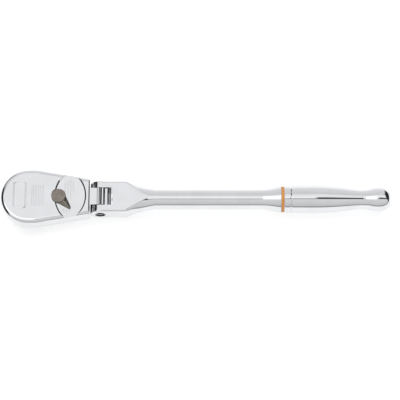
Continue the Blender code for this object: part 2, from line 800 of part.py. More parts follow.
def grip_line():
    """(x, radius) from the shaft's end over band, groove and swell to the knob."""
    grip = GRIP_D / 2
    band_end = BAND_X + BAND_WIDTH + BAND_SIDE
    line = along(SWELL_CURVE, BAND_X - SWELL_LENGTH, BAND_X - BAND_SIDE, SHAFT_D / 2, BAND_R)
    line += [(BAND_X - BAND_SIDE, BAND_SEAT_R), (band_end, BAND_SEAT_R)]
    line += [(band_end, grip - 0.00025), (GROOVE_X, grip - 0.00015)]
    line += [(GROOVE_X + 0.3 * GROOVE_WIDE, grip - GROOVE_DEEP - 0.00015)]
    line += [(GROOVE_X + 0.7 * GROOVE_WIDE, grip - GROOVE_DEEP - 0.00015)]
    line += [(GROOVE_X + GROOVE_WIDE, grip - 0.0001), (CREST_X - 0.008, grip - 0.00005)]
    line += along(GRIP_CURVE, CREST_X, WAIST_X, grip, WAIST_D / 2)
    line += along(KNOB_CURVE, WAIST_X, KNOB_X, WAIST_D / 2, KNOB_D / 2)
    line += along(CAP_CURVE, KNOB_X, HANDLE_END_X, KNOB_D / 2, 0)
    return line


def handle_sections():
    """(x, half width, half height, corner radius) from the ears to the knob."""
    high = CLEVIS_THICK / 2
    wide = CLEVIS_WIDTH / 2
    shaft = SHAFT_D / 2
    sections = []
    for degrees in (87, 80, 70, 60, 48, 36, 24, 12, 0):
        angle = math.radians(degrees)
        tall = high * math.cos(angle)
        sections.append((PIN_X - high * math.sin(angle), wide, tall, min(CLEVIS_EDGE, tall * 0.9)))
    sections.append((BLOCK_END_X, wide, high, CLEVIS_EDGE))
    for i in range(1, 11):
        share = i / 10
        width = wide + (shaft - wide) * ease(share)
        tall = high + (shaft - high) * share
        corner = CLEVIS_EDGE + (shaft - CLEVIS_EDGE) * ease(share) ** 0.8
        sections.append((BLOCK_END_X + (SHAFT_START_X - BLOCK_END_X) * share, width, tall, corner))
    return sections + [(x, r, r, r) for x, r in grip_line()]


shape = bmesh.new()
rings = []
for x, wide, tall, corner in handle_sections():
    rings.append([shape.verts.new((x, y, AXIS_Z + z)) for y, z in rounded_section(wide, tall, corner)])
shape.faces.new(rings[0])
for front, back in zip(rings, rings[1:]):
    for i in range(RING):
        j = (i + 1) % RING
        shape.faces.new((front[i], front[j], back[j], back[i]))
tip = shape.verts.new((HANDLE_END_X, 0, AXIS_Z))
for i in range(RING):
    shape.faces.new((rings[-1][i], rings[-1][(i + 1) % RING], tip))
bmesh.ops.remove_doubles(shape, verts=shape.verts, dist=MERGE)
handle = add("handle", shape, chrome, smooth=True)

slot = bmesh.new()
bmesh.ops.create_cube(slot, size=1)
slot_start = PIN_X - CLEVIS_THICK
bmesh.ops.scale(slot, vec=(SLOT_END_X - slot_start, SLOT_WIDTH, 2 * CLEVIS_THICK), verts=slot.verts)
slot = tool("clevis slot", placed(slot, shift((SLOT_END_X + slot_start) / 2, 0, AXIS_Z)))
screw_hole = tool(
    "flex screw hole",
    placed(cylinder(FLEX_PIN_R + RUNNING, -CLEVIS_WIDTH, CLEVIS_WIDTH, 40), upright, shift(PIN_X, 0, AXIS_Z)),
)
# upright carries +Z to -Y, so the screw goes in from +Z and the nut from -Z
NUT_SEAT = SLOT_WIDTH / 2 + 0.0012
nut_hole = tool(
    "flex nut hole",
    placed(cylinder(NUT_R + RUNNING, -CLEVIS_WIDTH, -NUT_SEAT, 40), upright, shift(PIN_X, 0, AXIS_Z)),
)
PLUNGER_BORE_END = SLOT_END_X + 0.0115
along_x = turn(math.pi / 2, "Y")
plunger_bore = tool(
    "flex plunger bore",
    placed(
        cylinder(PLUNGER_R + RUNNING, SLOT_END_X - OVERLAP, PLUNGER_BORE_END, 28),
        along_x,
        shift(0, 0, AXIS_Z),
    ),
)
cut(handle, slot, screw_hole, nut_hole, plunger_bore)

BAND_EDGE = 0.0002
band = turned(
    [
        (BAND_SEAT_R + RUNNING, 0),
        (BAND_R - BAND_EDGE, 0),
        (BAND_R, BAND_EDGE),
        (BAND_R, BAND_WIDTH - BAND_EDGE),
        (BAND_R - BAND_EDGE, BAND_WIDTH),
        (BAND_SEAT_R + RUNNING, BAND_WIDTH),
        (BAND_SEAT_R + RUNNING, 0),
    ],
    56,
)
add("handle_band", placed(band, along_x, shift(BAND_X, 0, AXIS_Z)), band_orange)

# ---------------------------------------------------------------- flex joint
SCREW_SUNK = 0.0011
NUT_PROUD = 0.0004
NUT_HEAD = CLEVIS_WIDTH / 2 + NUT_PROUD
NUT_EDGE = 0.0005
FLEX_KEY_R = 0.0018
FLEX_KEY_DEEP = 0.0025
flex_screw = add(
    "flex_screw",
    placed(
        cylinder(FLEX_PIN_R, -NUT_SEAT + GAP, CLEVIS_WIDTH / 2 - SCREW_SUNK, 40),
        upright,
        shift(PIN_X, 0, AXIS_Z),
    ),
    dark_screw,
)
key = cylinder(FLEX_KEY_R, CLEVIS_WIDTH / 2 - SCREW_SUNK - FLEX_KEY_DEEP, CLEVIS_WIDTH, 6)
cut(flex_screw, tool("flex screw key", placed(key, upright, shift(PIN_X, 0, AXIS_Z))))
nut = turned(
    [
        (0, -NUT_HEAD),
        (NUT_R - NUT_EDGE, -NUT_HEAD),
        (NUT_R, -NUT_HEAD + NUT_EDGE),
        (NUT_R, -NUT_SEAT - GAP),
        (0, -NUT_SEAT - GAP),
    ],
    40,
)
add("flex_nut", placed(nut, upright, shift(PIN_X, 0, AXIS_Z)), chrome)

# the plunger stands clear of the knuckle's crests, as it does while the head is being moved
PLUNGER_FRONT = PIN_X + KNUCKLE_CREST_R + 0.0001
PLUNGER_TAIL = SLOT_END_X + 0.0040
PLUNGER_NOSE = 0.00126
nose_x = PLUNGER_FRONT + PLUNGER_NOSE
profile = [(0, PLUNGER_TAIL), (PLUNGER_R, PLUNGER_TAIL), (PLUNGER_R, nose_x)]
for i in range(1, NOSE_RINGS):
    angle = math.pi / 2 * i / NOSE_RINGS
    profile.append((PLUNGER_R * math.cos(angle), nose_x - PLUNGER_NOSE * math.sin(angle)))
profile.append((0, PLUNGER_FRONT))
add("flex_plunger", placed(turned(profile, 28), along_x, shift(0, 0, AXIS_Z)), steel, smooth=True)
FLEX_SPRING_R = 0.0015
FLEX_SPRING_WIRE = 0.00025
coil(
    "flex_spring",
    FLEX_SPRING_R,
    FLEX_SPRING_WIRE,
    5,
    PLUNGER_BORE_END - PLUNGER_TAIL - 2 * RUNNING,
    spring_wire,
    shift(PLUNGER_TAIL + RUNNING, 0, AXIS_Z) @ along_x,
)
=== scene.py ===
import json
import math

import bmesh
import bpy
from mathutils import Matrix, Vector


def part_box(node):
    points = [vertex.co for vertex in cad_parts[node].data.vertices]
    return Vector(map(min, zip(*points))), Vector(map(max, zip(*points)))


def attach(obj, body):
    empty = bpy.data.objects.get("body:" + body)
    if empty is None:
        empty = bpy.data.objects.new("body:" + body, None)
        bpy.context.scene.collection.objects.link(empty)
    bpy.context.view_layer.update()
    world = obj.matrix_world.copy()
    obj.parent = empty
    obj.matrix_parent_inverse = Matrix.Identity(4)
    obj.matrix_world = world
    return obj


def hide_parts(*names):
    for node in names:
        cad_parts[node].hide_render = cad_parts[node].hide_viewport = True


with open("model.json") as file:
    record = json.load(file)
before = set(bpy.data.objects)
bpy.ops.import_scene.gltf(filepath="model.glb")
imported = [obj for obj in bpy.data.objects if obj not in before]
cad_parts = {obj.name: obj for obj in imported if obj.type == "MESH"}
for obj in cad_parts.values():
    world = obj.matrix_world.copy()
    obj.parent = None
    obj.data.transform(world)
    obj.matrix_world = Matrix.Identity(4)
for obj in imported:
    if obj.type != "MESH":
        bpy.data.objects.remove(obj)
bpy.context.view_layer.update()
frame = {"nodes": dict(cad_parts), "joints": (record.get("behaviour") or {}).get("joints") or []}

joints = {joint["name"]: joint for joint in frame["joints"]}
pin = Vector(joints["head_flex"]["pos_m"])
leverAxis = Vector(joints["lever_swing"]["pos_m"])
pawlAxis = Vector(joints["pawl_rock"]["pos_m"])
headLow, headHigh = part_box("head_housing")
clearance = 0.00015
reach = 0.002  # how far a cutting shape runs past what it cuts
overlap = 0.0004  # how far two shapes that join or meet run into each other
boreR = {"hinge": 0.00355, "stem": 0.00395, "pawlPin": 0.00125, "coverScrew": 0.00115, "flexPlunger": 0.00225}


# small helpers

def deselect():
    if bpy.context.mode != "OBJECT":
        bpy.ops.object.mode_set(mode="OBJECT")
    bpy.ops.object.select_all(action="DESELECT")


def openMesh(piece):
    deselect()
    piece.select_set(True)
    bpy.context.view_layer.objects.active = piece
    bpy.ops.object.mode_set(mode="EDIT")
    bpy.ops.mesh.select_mode(type="VERT")
    bpy.ops.mesh.select_all(action="DESELECT")


def closeMesh():
    bpy.ops.object.mode_set(mode="OBJECT")


def pick(piece, kind, test):
    # selects the corners, edges or faces that pass the test
    bpy.ops.mesh.select_mode(type=kind)
    bpy.ops.mesh.select_all(action="DESELECT")
    mesh = bmesh.from_edit_mesh(piece.data)
    for item in {"VERT": mesh.verts, "EDGE": mesh.edges, "FACE": mesh.faces}[kind]:
        if test(item):
            item.select_set(True)
    mesh.select_flush_mode()
    bmesh.update_edit_mesh(piece.data)


def onLevel(level, axis=2):
    return lambda edge: all(abs(v.co[axis] - level) < 1e-6 for v in edge.verts)


def upright(edge):
    a, b = (v.co for v in edge.verts)
    return (a.xy - b.xy).length < 1e-6


def cleanMesh(piece):
    openMesh(piece)
    bpy.ops.mesh.select_all(action="SELECT")
    bpy.ops.mesh.remove_doubles(threshold=1e-6)
    bpy.ops.mesh.normals_make_consistent(inside=False)
    closeMesh()


def drawLine(name, points):
    # pulls one point along the line, so the piece starts as its outline
    deselect()
    bpy.ops.mesh.primitive_plane_add(size=0.001, location=points[0])
    piece = bpy.context.object
    piece.name = name
    bpy.ops.object.transform_apply(location=True, rotation=True, scale=True)
    bpy.ops.object.mode_set(mode="EDIT")
    bpy.ops.mesh.select_mode(type="VERT")
    bpy.ops.mesh.select_all(action="SELECT")
    bpy.ops.mesh.merge(type="CENTER")
    here = Vector(points[0])
    for point in points[1:]:
        step = Vector(point) - here
        bpy.ops.mesh.extrude_region_move(TRANSFORM_OT_translate={"value": step})
        here = Vector(point)
    return piece


def slab(name, outline, low, high):
    # a flat outline in x and y, pulled up from low to high
    piece = drawLine(name, [(x, y, low) for x, y in outline])
    bpy.ops.mesh.select_all(action="SELECT")
    bpy.ops.mesh.edge_face_add()
    bpy.ops.mesh.extrude_region_move(TRANSFORM_OT_translate={"value": (0, 0, high - low)})
    bpy.ops.mesh.select_all(action="SELECT")
    bpy.ops.mesh.normals_make_consistent(inside=False)
    closeMesh()
    return piece


def spunPiece(name, profile, centre, axis, side, steps=72):
    # profile holds (radius, distance along the axis); side is the direction it is drawn in
    centre, axis, side = Vector(centre), Vector(axis), Vector(side)
    piece = drawLine(name, [centre + side * r + axis * d for r, d in profile])
    bpy.ops.mesh.select_all(action="SELECT")
    bpy.ops.mesh.spin(steps=steps, angle=2 * math.pi, center=centre, axis=axis)
    closeMesh()
    cleanMesh(piece)
    return piece


def rounded(piece, test, width, segments=4, profile=0.5, kind="EDGE"):
    openMesh(piece)
    pick(piece, kind, test)
    bpy.ops.mesh.bevel(offset=width, segments=segments, profile=profile, affect="EDGES")
    closeMesh()


def putAt(piece, move):
    openMesh(piece)
    bpy.ops.mesh.select_all(action="SELECT")
    bpy.ops.transform.translate(value=move)
    closeMesh()
    return piece


def combine(piece, others, operation):
    for other in others:
        step = piece.modifiers.new(operation.lower(), "BOOLEAN")
        step.operation = operation
        step.solver = "EXACT"
        step.object = other
        deselect()
        bpy.context.view_layer.objects.active = piece
        bpy.ops.object.modifier_apply(modifier=step.name)
        bpy.data.objects.remove(other, do_unlink=True)
    return piece


def cutAway(piece, *tools):
    return combine(piece, tools, "DIFFERENCE")


def weld(piece, *others):
    return combine(piece, others, "UNION")


def drill(name, radius, start, end, along="Z", sides=48):
    # a round cutting tool from start to end
    start, end = Vector(start), Vector(end)
    turns = {"Z": (0, 0, 0), "Y": (math.pi / 2, 0, 0), "X": (0, math.pi / 2, 0)}
    deselect()
    bpy.ops.mesh.primitive_cylinder_add(
        vertices=sides, radius=radius, depth=(end - start).length, location=(start + end) / 2,
        rotation=turns[along],
    )
    tool = bpy.context.object
    tool.name = name
    bpy.ops.object.transform_apply(location=True, rotation=True, scale=True)
    return tool


def arc(cx, cy, radius, start, end, steps):
    angles = [math.radians(start + (end - start) * i / steps) for i in range(steps + 1)]
    return [(cx + radius * math.cos(a), cy + radius * math.sin(a)) for a in angles]


def bothSides(half):
    return half + [(x, -y) for x, y in reversed(half) if abs(y) > 1e-6]


def smooth(piece, degrees=32, even=True):
    deselect()
    piece.select_set(True)
    bpy.context.view_layer.objects.active = piece
    bpy.ops.object.shade_smooth_by_angle(angle=math.radians(degrees))
    if even:
        step = piece.modifiers.new("even shading", "WEIGHTED_NORMAL")
        step.keep_sharp = True
        step.weight = 90
        bpy.ops.object.modifier_apply(modifier=step.name)


def finishPiece(piece, body, slotName, finish, *nodes):
    piece.data.materials.clear()
    piece.data.materials.append(finish)
    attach(piece, body)
    if nodes:
        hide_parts(*nodes)
    print("made", piece.name, len(piece.data.polygons), "faces")
    return piece


# finishes

def metalFinish(name, look):
    made = bpy.data.materials.new(name)
    made.use_nodes = True
    tree = made.node_tree
    node, link = tree.nodes.new, tree.links.new
    shader = tree.nodes["Principled BSDF"]
    shader.inputs["Metallic"].default_value = look.get("metallic", 1.0)
    place = node("ShaderNodeTexCoord")

    def noise(scale, detail, stretch=(1, 1, 1)):
        mapping = node("ShaderNodeMapping")
        mapping.inputs["Scale"].default_value = stretch
        link(place.outputs["Object"], mapping.inputs["Vector"])
        texture = node("ShaderNodeTexNoise")
        texture.inputs["Scale"].default_value = scale
        texture.inputs["Detail"].default_value = detail
        link(mapping.outputs["Vector"], texture.inputs["Vector"])
        return texture.outputs["Fac"]

    def ramp(source, stops):
        table = node("ShaderNodeValToRGB")
        while len(table.color_ramp.elements) < len(stops):
            table.color_ramp.elements.new(0.5)
        for element, (position, value) in zip(table.color_ramp.elements, stops):
            element.position = position
            element.color = (*value, 1) if isinstance(value, tuple) else (value, value, value, 1)
        link(source, table.inputs["Fac"])
        return table.outputs["Color"]

    cloudy = noise(look["cloudScale"], 3)
    fine = noise(look["grainScale"], 4, look.get("grainStretch", (1, 1, 1)))
    worn = noise(look.get("wearScale", 900), 6, look.get("wearStretch", (1, 1, 1)))
    colour = ramp(cloudy, [(0.35, look["dark"]), (0.65, look["pale"])])
    speckStart, speckEnd = look.get("speckStart", 0.68), look.get("speckEnd", 0.74)
    specks = ramp(worn, [(0.0, 1.0), (speckStart, 1.0), (speckEnd, look.get("speck", 0.9))])
    mix = node("ShaderNodeMix")
    mix.data_type = "RGBA"
    mix.blend_type = "MULTIPLY"
    mix.inputs["Factor"].default_value = 1.0
    link(colour, mix.inputs[6])
    link(specks, mix.inputs[7])
    link(mix.outputs[2], shader.inputs["Base Color"])
    link(ramp(fine, [(0.3, look["rough"][0]), (0.7, look["rough"][1])]), shader.inputs["Roughness"])
    bump = node("ShaderNodeBump")
    bump.inputs["Strength"].default_value = look["bump"]
    bump.inputs["Distance"].default_value = look.get("bumpDepth", 0.00002)
    link(fine, bump.inputs["Height"])
    link(bump.outputs["Normal"], shader.inputs["Normal"])
    if look.get("coat"):
        shader.inputs["Coat Weight"].default_value = look["coat"]
        shader.inputs["Coat Roughness"].default_value = 0.15
    made.diffuse_color = (*look["pale"], 1)
    return made


chromeLook = {
    "dark": (0.695, 0.705, 0.715), "pale": (0.725, 0.735, 0.748), "cloudScale": 90, "grainScale": 500,
    "rough": (0.035, 0.06), "bump": 0.015, "speckStart": 0.70, "speckEnd": 0.76, "speck": 0.93,
}
satinLook = {
    "dark": (0.225, 0.198, 0.172), "pale": (0.265, 0.238, 0.212), "cloudScale": 300, "grainScale": 2600,
    "rough": (0.27, 0.36), "bump": 0.12, "speckStart": 0.66, "speckEnd": 0.74, "speck": 0.85,
}
toolSteelLook = {
    "dark": (0.36, 0.355, 0.35), "pale": (0.47, 0.465, 0.46), "cloudScale": 260, "grainScale": 900,
    "grainStretch": (1, 1, 9), "rough": (0.26, 0.42), "bump": 0.25, "speck": 0.7,
}
springLook = {
    "dark": (0.42, 0.42, 0.44), "pale": (0.56, 0.56, 0.58), "cloudScale": 700, "grainScale": 2400,
    "rough": (0.22, 0.36), "bump": 0.15, "speck": 0.8,
}
blackScrewLook = {
    "dark": (0.035, 0.035, 0.04), "pale": (0.075, 0.075, 0.08), "cloudScale": 600, "grainScale": 2200,
    "rough": (0.30, 0.50), "bump": 0.25, "speckStart": 0.66, "speckEnd": 0.72, "speck": 1.9,
}
bandLook = {
    "metallic": 0.0, "dark": (0.60, 0.24, 0.045), "pale": (0.68, 0.29, 0.065), "cloudScale": 240,
    "grainScale": 1800, "rough": (0.42, 0.55), "bump": 0.15, "speck": 0.85, "coat": 0.05,
}
chrome = metalFinish("mirrorChrome", chromeLook)
satin = metalFinish("warmSatin", satinLook)
toolSteel = metalFinish("oiledToolSteel", toolSteelLook)
springSteel = metalFinish("drawnSpringWire", springLook)
blackScrew = metalFinish("blackenedScrew", blackScrewLook)
bandColour = metalFinish("orangeBand", bandLook)
print("finishes ready")

# the inner pieces keep their own shapes and take the finer finishes
innerFinishes = {
    "flex_plunger": toolSteel, "flex_spring": springSteel, "pawl_pin": toolSteel, "thrust_washer": toolSteel,
    "drive_ball_spring": springSteel, "pawl": toolSteel, "lever_clip": springSteel,
    "pawl_spring": springSteel, "pawl_plunger": toolSteel,
}
for node, finish in innerFinishes.items():
    for place in frame["nodes"][node].material_slots:
        place.material = finish

# head

headShape = {
    "noseR": 0.0224, "noseX": -0.0004, "cheekX": 0.0037, "taper": 10.2, "shoulderX": 0.0470,
    "cornerR": 0.0022, "longer": 0.0110, "spare": 0.0002, "cutSide": 0.00002,
    "topRound": 0.0038, "lowRound": 0.0031, "lowTall": 0.0078, "rearEdge": 0.0008, "roundSteps": 9,
    "pocketFloor": 0.0276, "nearX": 0.0205, "farX": 0.0434, "pocketHalf": 0.0195, "nearR": 0.0249,
    "farR": 0.0223, "stepFoot": 0.0008, "slope": 0.0010, "capSeatR": 0.0061,
    "cavityLow": 0.0180, "cavityHigh": 0.0240, "gearRoomR": 0.0131, "journalR": 0.0077,
    "journalTop": 0.0263, "plateR": 0.0174, "plateRearX": 0.0290, "plateRearR": 0.0088,
    "pawlRearR": 0.0054, "pawlHalf": 0.0127, "pawlFrontX": 0.0060, "pawlRearX": 0.0150,
    "pawlRoomDeep": 0.0006, "pawlPinDeep": 0.0025, "screwHoleTop": 0.0214,
    "tongueHalf": 0.0069, "tongueTop": 0.0078, "tongueTopX": -0.0028, "tongueLow": 0.0003,
    "tongueRoot": 0.006, "tongueEdge": 0.00025, "crestR": 0.0085, "valleyR": 0.0076, "notches": 12,
    "notchSteps": 14, "notchShape": 0.75,
}


def headOutline(h, endX, cornerR, side=0.0):
    # the sides taper from the cheeks to rounded corners at endX
    slope = math.radians(h["taper"])
    rearX = endX - cornerR
    rearY = (h["noseR"] + side - math.sin(slope) * (rearX - h["cheekX"]) - cornerR) / math.cos(slope)
    half = arc(rearX, rearY, cornerR, 0, 90 - h["taper"], 10)
    half += arc(h["cheekX"], 0, h["noseR"] + side, 90 - h["taper"], 90, 5)
    half += arc(h["noseX"], 0, h["noseR"] + side, 90, 180, 48)
    half[-1] = (half[-1][0], 0.0)
    return bothSides(half)


def pear(frontR, rearX, rearR, steps=40):
    lean = math.degrees(math.asin((frontR - rearR) / rearX))
    half = arc(rearX, 0, rearR, 0, 90 - lean, steps // 2) + arc(0, 0, frontR, 90 - lean, 180, steps)
    half[-1] = (half[-1][0], 0.0)
    return bothSides(half)


def pocketTools(h):
    nearHalf = math.degrees(math.asin(h["pocketHalf"] / h["nearR"]))
    farHalf = math.degrees(math.asin(h["pocketHalf"] / h["farR"]))

    def outline(flare):
        near = arc(h["nearX"] + h["nearR"], 0, h["nearR"] + flare, 180 - nearHalf, 180 + nearHalf, 40)
        return near + arc(h["farX"] - h["farR"], 0, h["farR"] + flare, -farHalf, farHalf, 40)

    # the steps rise upright from the floor and then lean outwards
    footTop = h["pocketFloor"] + h["stepFoot"]
    slopeTop = headHigh.z + reach
    flare = h["slope"] * (slopeTop - footTop) / (headHigh.z - footTop)
    foot = slab("pocketFoot", outline(0), h["pocketFloor"], footTop + 0.0001)  # runs a little into the slope
    lean = slab("pocketSlope", outline(0), footTop, slopeTop)
    openMesh(lean)
    wide, narrow = outline(flare), outline(0)
    mesh = bmesh.from_edit_mesh(lean.data)
    for v in mesh.verts:
        if v.co.z > footTop + 1e-6:
            here = v.co.xy
            nearest = min(range(len(narrow)), key=lambda i: (Vector(narrow[i]) - here).length)
            v.co.x, v.co.y = wide[nearest]
    bmesh.update_edit_mesh(lean.data)
    closeMesh()
    return foot, lean


def makeTongue(h):
    # the knuckle's side view is drawn flat, pulled to the tongue's width and then stood up
    lowZ = headLow.z + h["tongueLow"] - pin.z
    crest = 180 / h["notches"]
    rootX = h["shoulderX"] - pin.x - h["tongueRoot"]
    outline = [(rootX, h["tongueTop"]), (h["tongueTopX"], h["tongueTop"])]
    count = h["notchSteps"] * (h["notches"] // 2 + 1)
    for i in range(count + 1):
        angle = math.radians(90 + crest - (180 + 2 * crest) * i / count)
        wave = (1 - math.cos(h["notches"] * angle)) / 2
        radius = h["valleyR"] + (h["crestR"] - h["valleyR"]) * wave ** h["notchShape"]
        outline.append((radius * math.cos(angle), radius * math.sin(angle)))
    outline += [(h["shoulderX"] - pin.x, lowZ), (rootX, lowZ)]
    half = h["tongueHalf"]
    tongue = slab("tongue", outline, -half, half)
    rounded(tongue, lambda e: onLevel(half)(e) or onLevel(-half)(e), h["tongueEdge"], 2)
    openMesh(tongue)
    bpy.ops.mesh.select_all(action="SELECT")
    bpy.ops.transform.rotate(value=-math.pi / 2, orient_axis="X", center_override=(0, 0, 0))
    bpy.ops.transform.translate(value=pin)
    closeMesh()
    return tongue


def chamferTool(h, topZ):
    # a square bar on its edge, whose lower face takes off the shoulder's top edge
    side, inset = 0.004, h["rearEdge"] / 2
    away = side / 2 * math.sqrt(0.5) - inset
    deselect()
    bpy.ops.mesh.primitive_cube_add(
        size=side, location=(h["shoulderX"] + away, 0, topZ + away), rotation=(0, math.pi / 4, 0),
        scale=(1, 20, 1),  # long enough to pass right across the head
    )
    bpy.ops.object.transform_apply(location=True, rotation=True, scale=True)
    return bpy.context.object


def makeHead(h):
    low, topZ = headLow.z, headHigh.z
    blank = headOutline(h, h["shoulderX"] + h["longer"], h["topRound"] + h["spare"])
    head = slab("headBody", blank, low, topZ)
    rounded(head, onLevel(topZ), h["topRound"], h["roundSteps"])
    rounded(head, onLevel(low), h["lowRound"], h["roundSteps"])
    openMesh(head)
    pick(head, "VERT", lambda v: v.co.z < low + h["lowRound"] + 1e-6)
    bpy.ops.transform.resize(value=(1, 1, h["lowTall"] / h["lowRound"]), center_override=(0, 0, low))
    closeMesh()
    # the long blank is cut square at the shoulder, which leaves round upright corners there
    square = headOutline(h, h["shoulderX"], h["cornerR"], h["cutSide"])
    combine(head, [slab("shoulderCut", square, low - reach, topZ + reach)], "INTERSECT")
    cleanMesh(head)
    cutAway(head, chamferTool(h, topZ))
    cleanMesh(head)
    weld(head, makeTongue(h))
    floor, roof = h["cavityLow"], h["cavityHigh"]
    seat = slab("plateSeat", pear(h["plateR"], h["plateRearX"], h["plateRearR"]), low - reach, floor)
    room = drill("gearRoom", h["gearRoomR"], (0, 0, floor - overlap), (0, 0, roof), sides=96)
    behind = arc(leverAxis.x, 0, h["pawlRearR"], 0, 60, 8)
    behind += [(h["pawlRearX"], h["pawlHalf"]), (h["pawlFrontX"], h["pawlHalf"]), (h["pawlFrontX"], 0.0)]
    pawlRoom = slab("pawlRoom", bothSides(behind), floor - h["pawlRoomDeep"], roof - 0.00002)
    journal = drill("journalBore", h["journalR"], (0, 0, roof - overlap), (0, 0, h["journalTop"]))

    def bore(name, radius, x, start, end, sides):
        return drill(name, radius, (x, 0, start), (x, 0, end), sides=sides)

    lever = bore("stemBore", boreR["stem"], leverAxis.x, roof - overlap, topZ, 56)
    pawlPin = bore("pawlPinBore", boreR["pawlPin"], pawlAxis.x, roof - overlap, roof + h["pawlPinDeep"], 24)
    capSeat = bore("capSeat", h["capSeatR"], leverAxis.x, h["pocketFloor"], topZ + reach, 64)
    across = Vector((0, 0.013, 0))
    hinge = drill("hingeBore", boreR["hinge"], pin - across, pin + across, "Y")
    cutAway(head, *pocketTools(h), capSeat, seat, room, pawlRoom, journal, lever, pawlPin, hinge)
    for spot in screwSpots:
        start, end = (*spot, floor - overlap), (*spot, h["screwHoleTop"])
        cutAway(head, drill("screwHole", boreR["coverScrew"], start, end, sides=24))
    cleanMesh(head)
    smooth(head)
    return finishPiece(head, "head", "polished_chrome", chrome, "head_housing")


screwSpots = []
for i in (1, 2, 3):
    lowCorner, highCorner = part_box(f"cover_screw_{i}")
    middle = (lowCorner + highCorner) / 2
    screwSpots.append((middle.x, middle.y))
makeHead(headShape)
print("head done")

# handle

handleShape = {
    "blockEndX": 0.0752, "shaftStartX": 0.0980, "clevisHalf": 0.0127, "clevisHigh": 0.00785, "edge": 0.0018,
    "noseEdge": 0.0006, "blockFrom": 0.0035, "shaftR": 0.0079, "ring": 72, "taperSteps": 28,
    "flatEnd": 0.82, "flatCurve": 1.05, "cornerGrow": 0.012, "boxedUntil": 0.45,
    "slotHalf": 0.0072, "slotEndX": 0.0647, "slotStart": 0.016, "slotTall": 0.03,
    "mouthR": 0.0041, "mouthDeep": 0.0112, "nutBoreR": 0.00415, "nutSeat": 0.0084, "plungerBoreEnd": 0.0762,
    "bandX": 0.19635, "bandWide": 0.0022, "seatR": 0.0092, "bandLipR": 0.01040, "grooveX": 0.2034,
    "grooveR": 0.01018,
}
noseAngles = (88.5, 85, 81, 76, 71, 66, 60, 54, 48, 42, 36, 30, 24, 18, 12, 6, 0)
# distance from the drive and radius: the swell before the band, the grip and the knob
neckLine = [
    (0.1812, 0.00795), (0.1834, 0.00807), (0.1853, 0.00826), (0.1874, 0.00865), (0.1894, 0.00913),
    (0.1913, 0.00956), (0.1930, 0.00991), (0.1945, 0.01018),
]
gripLine = [
    (0.2080, 0.01070), (0.2120, 0.01073), (0.2160, 0.01078), (0.2200, 0.01080), (0.2235, 0.01079),
    (0.2265, 0.01075), (0.2303, 0.01062), (0.2343, 0.01036), (0.2382, 0.01002), (0.2421, 0.00963),
    (0.2453, 0.00924), (0.2483, 0.00884), (0.2507, 0.00852), (0.2530, 0.00824), (0.2553, 0.00800),
    (0.2575, 0.00783), (0.2593, 0.00775), (0.2610, 0.00775),
]
knobLine = [
    (0.2625, 0.00784), (0.2640, 0.00806), (0.2655, 0.00844), (0.2670, 0.00886), (0.2685, 0.00921),
    (0.2700, 0.00942), (0.2715, 0.00952), (0.2730, 0.00952), (0.2746, 0.00939), (0.2762, 0.00908),
    (0.2775, 0.00866), (0.2786, 0.00815), (0.2795, 0.00757), (0.2803, 0.00686), (0.2809, 0.00610),
    (0.2814, 0.00520), (0.28174, 0.00410), (0.28190, 0.00280), (0.28198, 0.00140),
]


def section(flatY, flatZ, curveY, curveZ, count, sweep=math.pi / 2):
    # a round at each corner with flats between them; a short sweep leaves creases at the upper and lower flats
    points = []
    per = count // 4
    for quarter in range(4):
        sideY = 1 if quarter in (0, 3) else -1
        sideZ = 1 if quarter in (0, 1) else -1
        for i in range(per):
            share = i / (per - 1)
            turn = sweep * (share if quarter in (0, 2) else 1 - share)
            y, z = flatY + curveY * math.cos(turn), flatZ + curveZ * math.sin(turn)
            points.append((sideY * y, sideZ * z))
    return points


def milledRound(half, tall, flatY, count):
    # an oval whose upper and lower sides are cut flat
    share = min(0.999, flatY / half)
    full = tall / math.sqrt(1 - share * share)
    return section(0, 0, half, full, count, math.asin(tall / full))


def blend(first, second, share):
    return [tuple(p + (q - p) * share for p, q in zip(one, other)) for one, other in zip(first, second)]


